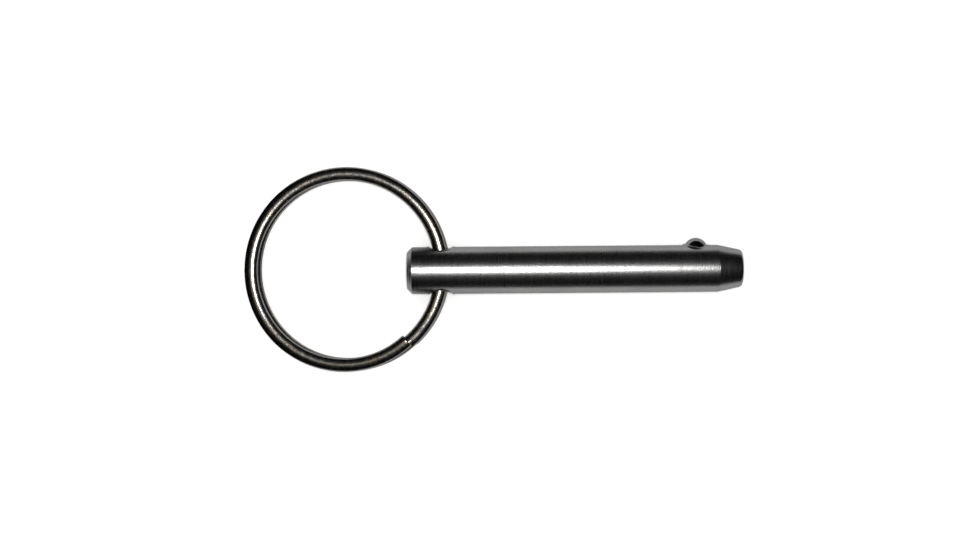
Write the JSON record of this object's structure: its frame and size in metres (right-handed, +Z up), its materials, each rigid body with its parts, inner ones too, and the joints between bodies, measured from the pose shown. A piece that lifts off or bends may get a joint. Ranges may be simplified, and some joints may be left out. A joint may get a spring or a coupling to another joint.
{
  "type": "detent ring pin",
  "caption": "Steel quick-release pin: a plain round shank with a sprung locking ball near its tip and a split ring through a cross-hole near its head.",
  "frame": {"origin": "on the shank's axis, midway along the usable length between the ring and the ball", "axes": "+X along the shank from head to tip, +Y the way the ball points, +Z up as the pin lies on its side"},
  "size_m": [0.0673, 0.0277, 0.0064],
  "materials": {
    "shank_steel": "satin",
    "ball_steel": "polished",
    "spring_steel": "satin",
    "ring_steel": "gloss"
  },
  "bodies": {
    "pin": {"shank": "shank_steel", "detent_spring": "spring_steel"},
    "ball": {"detent_ball": "ball_steel"},
    "ring": {"split_ring": "ring_steel"}
  },
  "joints": [
    {"name": "ring_swing", "type": "hinge", "parent": "pin", "child": "ring", "pos_m": [-0.01707, 0, 0], "axis": [0, 1, 0], "range_deg": [-165, 173]},
    {"name": "ball_press", "type": "slide", "parent": "pin", "child": "ball", "axis": [0, -1, 0], "range_m": [0, 0.00096], "stiffness_N_per_m": 5000, "springref_m": -0.0004, "deforming": ["detent_spring"]}
  ]
}
